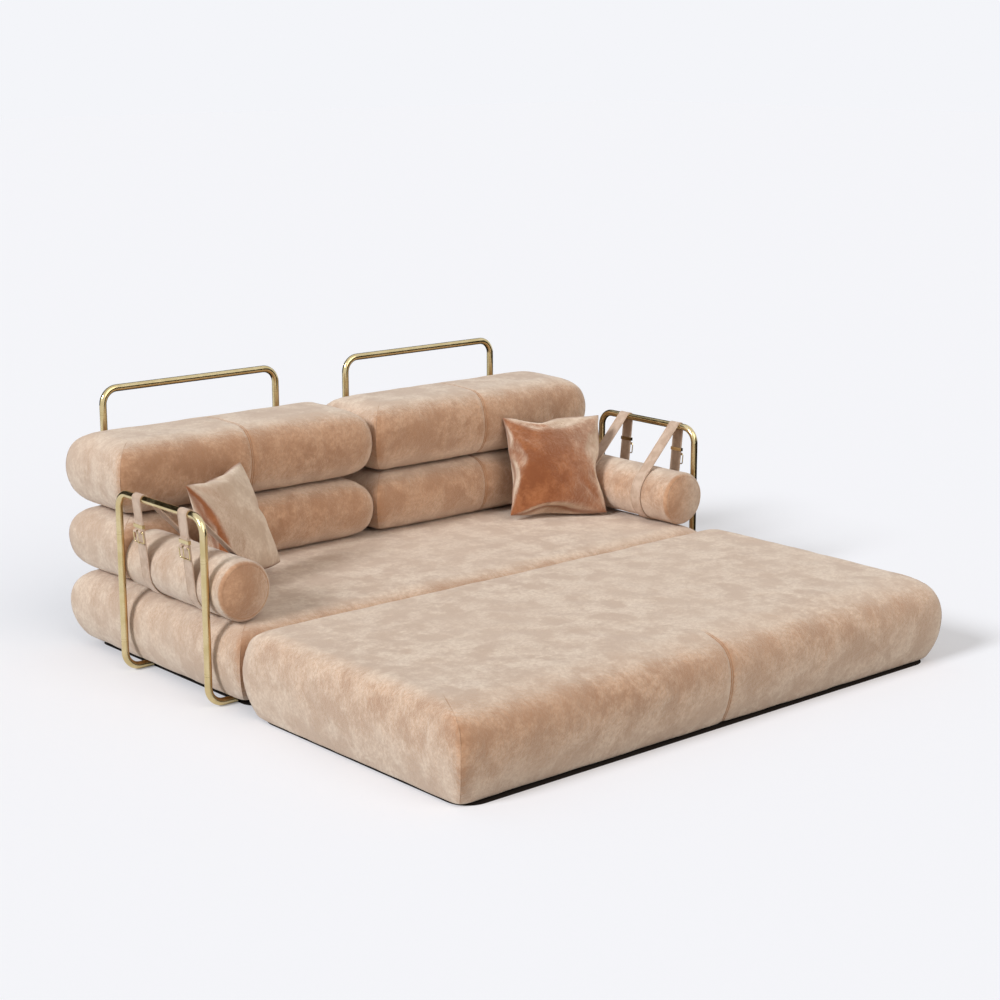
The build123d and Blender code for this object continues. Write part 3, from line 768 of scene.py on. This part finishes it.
def fill_in(tree, node, inputs):
    """Set or link a node's inputs."""
    for key, value in inputs.items():
        if isinstance(value, bpy.types.NodeSocket):
            tree.links.new(value, node.inputs[key])
        else:
            node.inputs[key].default_value = value


def shader_node(tree, kind, inputs=None, **options):
    """A shader node with its options and inputs."""
    made = tree.nodes.new("ShaderNode" + kind)
    for key, value in options.items():
        setattr(made, key, value)
    fill_in(tree, made, inputs or {})
    return made


def mixed(tree, factor, first, second):
    """The colour between two, by a factor. Each is a colour of three values or a socket."""
    inputs = {mix_factor: factor}
    for place, colour in ((mix_first, first), (mix_second, second)):
        inputs[place] = colour if isinstance(colour, bpy.types.NodeSocket) else (*colour, 1)
    return shader_node(tree, "Mix", inputs, data_type="RGBA").outputs[mix_result]


def spread_of(tree, value, low, high, to_low=0.0, to_high=1.0):
    """A value eased from one range to another."""
    inputs = {"Value": value, "From Min": low, "From Max": high, "To Min": to_low, "To Max": to_high}
    return shader_node(tree, "MapRange", inputs, interpolation_type="SMOOTHSTEP").outputs["Result"]


def object_place(tree):
    """The place on the object."""
    return shader_node(tree, "TexCoord").outputs["Object"]


def noise(tree, scale, detail, roughness=0.6, distortion=0.0, stretch=None):
    """Noise over the place on the object, scale in cells a metre."""
    place = object_place(tree)
    if stretch:
        place = shader_node(tree, "Mapping", {"Vector": place, "Scale": stretch}).outputs["Vector"]
    inputs = {"Vector": place, "Scale": scale, "Detail": detail}
    inputs |= {"Roughness": roughness, "Distortion": distortion}
    return shader_node(tree, "TexNoise", inputs).outputs["Fac"]


def raised(tree, height, strength, distance, below=None):
    """The normal of a surface raised by a height, on top of another such normal."""
    inputs = {"Height": height, "Strength": strength, "Distance": distance}
    if below:
        inputs["Normal"] = below
    return shader_node(tree, "Bump", inputs).outputs["Normal"]


def new_material(name):
    """A material, its tree and its surface shader."""
    material = bpy.data.materials.new(name)
    material.use_nodes = True
    return material, material.node_tree, material.node_tree.nodes["Principled BSDF"]


def velvet(name, deep, rich, dusk, pale, painted_sheen_range):
    """Velvet brushed in patches, with painted sheen and shade: deep to rich where it faces the eye, dusk to
    pale where it is skimmed.
    """
    material, tree, shader = new_material(name)
    patches = noise(tree, scale=11.0, detail=9.0, roughness=0.68, distortion=0.15)
    clouds = noise(tree, scale=3.0, detail=3.0, roughness=0.5)
    mottle = noise(tree, scale=75.0, detail=6.0, roughness=0.72, distortion=0.2)
    pile = noise(tree, scale=1300.0, detail=2.0)
    soft = raised(tree, patches, strength=0.5, distance=0.006)
    soft = raised(tree, mottle, strength=0.6, distance=0.0030, below=soft)

    calm = (0.6, 0.6, 0.6)
    dark = (0.0, 0.0, 0.0)
    tone = spread_of(tree, patches, 0.40, 0.60)
    tone = mixed(tree, spread_of(tree, clouds, 0.4, 0.6, to_high=0.35), tone, calm)
    tone = mixed(tree, spread_of(tree, mottle, 0.38, 0.62, to_high=0.55), tone, dark)
    # Painted sheen: the colour turns from the deep pair to the pale pair as the surface turns away from the
    # eye
    facing = shader_node(tree, "LayerWeight", {"Blend": 0.5, "Normal": soft}).outputs["Facing"]
    sheen = spread_of(tree, facing, *painted_sheen_range)
    colour = mixed(tree, sheen, mixed(tree, tone, deep, rich), mixed(tree, tone, dusk, pale))
    near = shader_node(tree, "Attribute", attribute_name="seam_near").outputs["Fac"]
    # Painted seam shade, with some nap wear: the colour goes towards the deep one near seams
    colour = mixed(tree, spread_of(tree, near, 0.0, 1.0, to_high=0.7), colour, deep)
    fill_in(tree, shader, {
        "Base Color": colour,
        "Roughness": spread_of(tree, patches, 0.3, 0.7, to_low=0.8, to_high=0.95),
        "Specular IOR Level": 0.2,
        "Sheen Weight": 0.18,
        "Sheen Roughness": 0.5,
        "Normal": raised(tree, pile, strength=0.3, distance=0.0005, below=soft),
    })
    return material


def brass():
    """Polished brass, a little smudged."""
    material, tree, shader = new_material("polished_brass")
    smudge = noise(tree, scale=18.0, detail=5.0, distortion=0.3)
    fine = noise(tree, scale=260.0, detail=3.0)
    tone = spread_of(tree, smudge, 0.35, 0.65)
    fill_in(tree, shader, {
        "Base Color": mixed(tree, tone, (0.62, 0.50, 0.255), (0.70, 0.58, 0.33)),
        "Roughness": spread_of(tree, smudge, 0.3, 0.7, to_low=0.16, to_high=0.26),
        "Metallic": 1.0,
        "Normal": raised(tree, fine, strength=0.05, distance=0.0002),
    })
    return material


def suede():
    """Soft strap leather with a fine grain."""
    material, tree, shader = new_material("strap_suede")
    cloud = noise(tree, scale=30.0, detail=5.0, distortion=0.4)
    grain = noise(tree, scale=900.0, detail=4.0, roughness=0.65)
    cells = {"Vector": object_place(tree), "Scale": 700.0}
    pores = shader_node(tree, "TexVoronoi", cells).outputs["Distance"]
    colour = mixed(tree, spread_of(tree, cloud, 0.35, 0.65), (0.46, 0.325, 0.235), (0.59, 0.445, 0.340))
    soft = raised(tree, pores, strength=0.25, distance=0.0003)
    fill_in(tree, shader, {
        "Base Color": mixed(tree, spread_of(tree, grain, 0.3, 0.7, to_high=0.3), colour, (0.38, 0.26, 0.18)),
        "Roughness": spread_of(tree, grain, 0.3, 0.7, to_low=0.62, to_high=0.8),
        "Sheen Weight": 0.3,
        "Sheen Tint": (1.0, 0.93, 0.86, 1),
        "Normal": raised(tree, grain, strength=0.3, distance=0.0003, below=soft),
    })
    return material


def thread():
    """Waxed thread, twisted."""
    material, tree, shader = new_material("waxed_thread")
    twist = noise(tree, scale=2500.0, detail=2.0, roughness=0.5)
    tone = spread_of(tree, twist, 0.35, 0.65)
    fill_in(tree, shader, {
        "Base Color": mixed(tree, tone, (0.26, 0.15, 0.09), (0.38, 0.23, 0.14)),
        "Roughness": 0.6,
        "Normal": raised(tree, twist, strength=0.4, distance=0.0002),
    })
    return material


def timber():
    """Planed pine with its grain along X."""
    material, tree, shader = new_material("planed_timber")
    grain = noise(tree, scale=14.0, detail=6.0, roughness=0.65, distortion=1.2, stretch=(0.25, 4.0, 4.0))
    pores = noise(tree, scale=240.0, detail=4.0, stretch=(0.1, 1.0, 1.0))
    colour = mixed(tree, spread_of(tree, grain, 0.35, 0.65), (0.55, 0.36, 0.19), (0.72, 0.53, 0.32))
    fill_in(tree, shader, {
        "Base Color": mixed(tree, spread_of(tree, pores, 0.45, 0.7, to_high=0.4), colour, (0.42, 0.26, 0.13)),
        "Roughness": 0.6,
        "Normal": raised(tree, pores, strength=0.3, distance=0.0004),
    })
    return material


def lining():
    """Black woven lining."""
    material, tree, shader = new_material("woven_lining")
    threads = {"Vector": object_place(tree), "Scale": 320.0}
    warp = shader_node(tree, "TexWave", threads, bands_direction="X").outputs["Fac"]
    weft = shader_node(tree, "TexWave", threads, bands_direction="Y").outputs["Fac"]
    weave = mixed(tree, warp, (0.010, 0.010, 0.010), (0.035, 0.034, 0.033))
    fill_in(tree, shader, {
        "Base Color": mixed(tree, spread_of(tree, weft, 0.2, 0.8, to_high=0.6), weave, (0.02, 0.02, 0.02)),
        "Roughness": 0.9,
        "Normal": raised(tree, warp, strength=0.4, distance=0.0003),
    })
    return material


def steel():
    """Zinc plated steel."""
    material, tree, shader = new_material("plated_steel")
    cloud = noise(tree, scale=45.0, detail=5.0)
    brushed = noise(tree, scale=300.0, detail=3.0, stretch=(1.0, 0.06, 1.0))
    tone = spread_of(tree, cloud, 0.35, 0.65)
    fill_in(tree, shader, {
        "Base Color": mixed(tree, tone, (0.42, 0.43, 0.44), (0.60, 0.60, 0.60)),
        "Roughness": spread_of(tree, brushed, 0.3, 0.7, to_low=0.28, to_high=0.45),
        "Metallic": 1.0,
        "Normal": raised(tree, brushed, strength=0.15, distance=0.0002),
    })
    return material


def plastic():
    """Moulded black plastic with a fine grain."""
    material, tree, shader = new_material("moulded_plastic")
    grain = noise(tree, scale=700.0, detail=3.0)
    tone = spread_of(tree, grain, 0.3, 0.7)
    fill_in(tree, shader, {
        "Base Color": mixed(tree, tone, (0.012, 0.012, 0.013), (0.024, 0.024, 0.025)),
        "Roughness": 0.55,
        "Normal": raised(tree, grain, strength=0.3, distance=0.0002),
    })
    return material


def foam():
    """Open foam."""
    material, tree, shader = new_material("open_foam")
    cells = noise(tree, scale=500.0, detail=4.0)
    tone = spread_of(tree, cells, 0.35, 0.65)
    fill_in(tree, shader, {
        "Base Color": mixed(tree, tone, (0.70, 0.62, 0.42), (0.86, 0.78, 0.58)),
        "Roughness": 0.95,
        "Normal": raised(tree, cells, strength=0.5, distance=0.0006),
    })
    return material


def matt(name, colour, roughness):
    """A plain colour without any shine."""
    material, tree, shader = new_material(name)
    fill_in(tree, shader, {"Base Color": (*colour, 1), "Roughness": roughness, "Specular IOR Level": 0.0})
    return material


def dress(piece, material):
    """Give a piece one material."""
    piece.data.materials.clear()
    piece.data.materials.append(material)


def finish_piece(piece, material, body, replaced=()):
    """Give a piece its material and body, and hide the CAD nodes that it stands for."""
    dress(piece, material)
    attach(piece, body)
    if replaced:
        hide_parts(*replaced)


# Pieces
def parted(box, crown, share):
    """Heights of a block's side above and below its widest line."""
    low, high = box
    edge = high.z - crown
    middle = low.z + (edge - low.z) * share
    return edge - middle, middle - low.z


def seat(velvet_cover):
    """The seat block."""
    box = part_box("seat_cover")
    above, below = parted(box, seat_crown, widest_share)
    arcs = shoulder_arcs(shoulder, above, seat_corner, side_turn) + hem_arcs(seat_skirt, below, hem_turn)
    both = ((shoulder, arcs),) * 2
    recess = seat_frame_inset + flange_width
    piece = block("seat_velvet", box, seat_crown, both, both, (), recess, seat_seed)
    finish_piece(piece, velvet_cover, "base", ("seat_cover", "seat_foam"))


def front_module(velvet_cover):
    """The front module's block, with a longer slope at its front and a seam in the middle of it."""
    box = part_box("module_cover")
    above, below = parted(box, module_crown, module_widest_share)
    slope = shoulder_arcs(module_front_shoulder, above, module_front_corner, side_turn)
    turn = shoulder_arcs(module_shoulder, above, module_corner, side_turn)
    hem = hem_arcs(module_skirt, below, module_skirt_turn)
    end_hem = hem_arcs(module_end_skirt, below, module_end_turn)
    ends = ((module_shoulder, turn + end_hem),) * 2
    faces = ((module_front_shoulder, slope + hem), (module_shoulder, turn + hem))
    recess = module_frame_inset + flange_width
    piece = block(
        "module_velvet", box, module_crown, ends, faces, (front_side,), recess, module_seed, module_seam_shift
    )
    finish_piece(piece, velvet_cover, "front_module", ("module_cover", "module_foam"))


def back_cushion(velvet_cover, name, foot, foot_corner, seed):
    """A back cushion, rounded above and below, with a seam over the middle of its top and front."""
    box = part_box(f"{name}_cover")
    above, below = parted(box, back_crown, widest_share)
    upper = shoulder_arcs(shoulder, above, back_corner, side_turn)
    lower = shoulder_arcs(foot, below, foot_corner, side_turn)
    both = ((shoulder, upper + lower[::-1]),) * 2
    piece = block(f"{name}_velvet", box, back_crown, both, both, (front_side, top_side), 0, seed)
    finish_piece(piece, velvet_cover, name, (f"{name}_cover", f"{name}_foam"))


def back_cushions(velvet_cover):
    """The four back cushions; the lower ones have a smaller foot."""
    rows = {"lower": (back_foot, back_foot_corner), "upper": (shoulder, back_corner)}
    seed = first_cushion_seed
    for side in ("left", "right"):
        for row, (foot, foot_corner) in rows.items():
            back_cushion(velvet_cover, f"{side}_{row}_back", foot, foot_corner, seed)
            seed += cushion_seed_step


def side_pieces(side, roll_velvet, pillow_velvet, stitch_thread):
    """A side's bolster and pillow, and the stitches on its two straps."""
    replaced = (f"{side}_bolster_cover", f"{side}_bolster_core")
    finish_piece(bolster(side), roll_velvet, f"{side}_bolster", replaced)
    replaced = (f"{side}_pillow_cover", f"{side}_pillow_filling")
    finish_piece(pillow(side), pillow_velvet, f"{side}_pillow", replaced)
    for row in ("front", "rear"):
        finish_piece(stitches(side, row), stitch_thread, "base")


def dress_cad_nodes(velvet_cover):
    """Give every node of the CAD the finish of its slot."""
    finishes = {
        "velvet": velvet_cover,
        "foam": foam(),
        "timber": timber(),
        "lining": lining(),
        "glide": plastic(),
        "steel": steel(),
        "brass": brass(),
        "leather": suede(),
    }
    for part in frame["record"]["subparts"]:
        dress(nodes[part["node"]], finishes[part["material_slot"]])


# Stage
def panel(name, width, height):
    """A flat rectangle about its own centre, facing up."""
    x = width / 2
    y = height / 2
    return make_object(name, [(-x, -y, 0), (x, -y, 0), (x, y, 0), (-x, y, 0)], [(0, 1, 2, 3)])


def greater(tree, first, second):
    """The greater of two values."""
    return shader_node(tree, "Math", {0: first, 1: second}, operation="MAXIMUM").outputs[0]


def shader_between(tree, factor, first, second):
    """The shader between two, by a factor."""
    inputs = {0: factor, 1: first.outputs[0], 2: second.outputs[0]}
    return shader_node(tree, "MixShader", inputs).outputs[0]


def floor():
    """A wide floor, pale as the backdrop with its shadows a little lifted, that gives back less light."""
    piece = panel("floor", floor_width, floor_width)
    material = bpy.data.materials.new("pale_floor")
    material.use_nodes = True
    tree = material.node_tree
    tree.nodes.clear()
    path = shader_node(tree, "LightPath").outputs
    seen = path["Is Camera Ray"]
    shown = greater(tree, seen, path["Is Glossy Ray"])
    lit = shader_node(tree, "BsdfDiffuse", {"Color": mixed(tree, shown, (floor_bounce,) * 3, backdrop)})
    plain = shader_node(tree, "Emission", {"Color": (*backdrop, 1), "Strength": 1.0})
    share = shader_node(tree, "Math", {0: seen, 1: shadow_lift}, operation="MULTIPLY").outputs[0]
    shader_node(tree, "OutputMaterial", {"Surface": shader_between(tree, share, lit, plain)})
    dress(piece, material)


def contact_shadow(name, body, box, insets, corner):
    """A painted shadow: a dark patch laid on the floor right under a block, moving with it."""
    low, high = box
    left, right, front, back = insets
    near_x = low.x + left + corner
    far_x = high.x - right - corner
    near_y = low.y + front + corner
    far_y = high.y - back - corner
    spots = []
    for x, y, start in ((near_x, near_y, 180), (far_x, near_y, 270), (far_x, far_y, 0), (near_x, far_y, 90)):
        for k in range(patch_corner_steps + 1):
            angle = radians(start + 90 * k / patch_corner_steps)
            spots.append((x + corner * cos(angle), y + corner * sin(angle), patch_height))
    piece = make_object(name, spots, [tuple(range(len(spots)))])
    dress(piece, matt(name, shadow_patch_colour, 1.0))
    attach(piece, body)


def flag(name, centre, facing, width, height):
    """A dark studio panel that only shows in reflections."""
    piece = panel(name, width, height)
    piece.location = centre
    piece.rotation_euler = Vector(facing).to_track_quat("Z", "Y").to_euler()
    dress(piece, matt(name, flag_colour, 0.9))
    piece.visible_camera = False
    piece.visible_diffuse = False
    piece.visible_shadow = False
    piece.visible_transmission = False


def sun(name, share, height, size, tint, lean):
    """A sun with a share of the light on level ground, tipped from straight above about the axes of lean."""
    lamp = bpy.data.lights.new(name, "SUN")
    lamp.energy = share * pi / sin(radians(height))
    lamp.angle = radians(size)
    lamp.color = tint
    piece = bpy.data.objects.new(name, lamp)
    piece.rotation_euler = [way * radians(90 - height) for way in lean]
    bpy.context.scene.collection.objects.link(piece)


def surround():
    """An even, white world that shows as the backdrop's colour."""
    world = bpy.data.worlds.new("surround")
    world.use_nodes = True
    tree = world.node_tree
    tree.nodes.clear()
    path = shader_node(tree, "LightPath").outputs
    shown = greater(tree, path["Is Camera Ray"], path["Is Glossy Ray"])
    shown = greater(tree, shown, path["Is Transmission Ray"])
    around = shader_node(tree, "Background", {"Color": (1, 1, 1, 1), "Strength": 1 - key_share - fill_share})
    behind = shader_node(tree, "Background", {"Color": (*backdrop, 1), "Strength": 1.0})
    shader_node(tree, "OutputWorld", {"Surface": shader_between(tree, shown, around, behind)})
    bpy.context.scene.world = world


def camera():
    """The photograph's view."""
    lens = bpy.data.cameras.new("view")
    lens.lens = camera_lens
    lens.sensor_width = camera_sensor
    lens.clip_end = camera_reach
    piece = bpy.data.objects.new("view", lens)
    piece.location = camera_place
    piece.rotation_euler = (radians(90 - camera_pitch), 0, radians(camera_yaw))
    bpy.context.scene.collection.objects.link(piece)
    bpy.context.scene.camera = piece


peach_velvet = velvet(
    "peach_velvet",
    deep=(0.38, 0.200, 0.108),
    rich=(0.56, 0.335, 0.205),
    dusk=(0.55, 0.412, 0.312),
    pale=(0.73, 0.605, 0.485),
    painted_sheen_range=block_painted_sheen,
)
copper_velvet = velvet(
    "copper_velvet",
    deep=(0.22, 0.070, 0.024),
    rich=(0.34, 0.130, 0.052),
    dusk=(0.58, 0.44, 0.325),
    pale=(0.76, 0.63, 0.50),
    painted_sheen_range=pillow_painted_sheen,
)
waxed_thread = thread()
seat(peach_velvet)
front_module(peach_velvet)
back_cushions(peach_velvet)
for side in ("left", "right"):
    side_pieces(side, peach_velvet, copper_velvet, waxed_thread)
dress_cad_nodes(peach_velvet)

floor()
for name, placing in flags.items():
    flag(name, *placing)
# Painted shadows under the seat and the front module
contact_shadow("painted_shadow_under_seat", "base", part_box("seat_cover"), seat_shadow_patch, seat_shadow_corner)
contact_shadow("painted_shadow_under_module", "front_module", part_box("module_cover"), module_shadow_patch, module_shadow_corner)
sun("key", key_share, key_height, key_size, key_tint, lean=(0, -1, 0))
sun("fill", fill_share, fill_height, fill_size, fill_tint, lean=(1, 0, 0))
surround()
camera()
bpy.context.scene.view_settings.view_transform = "Standard"
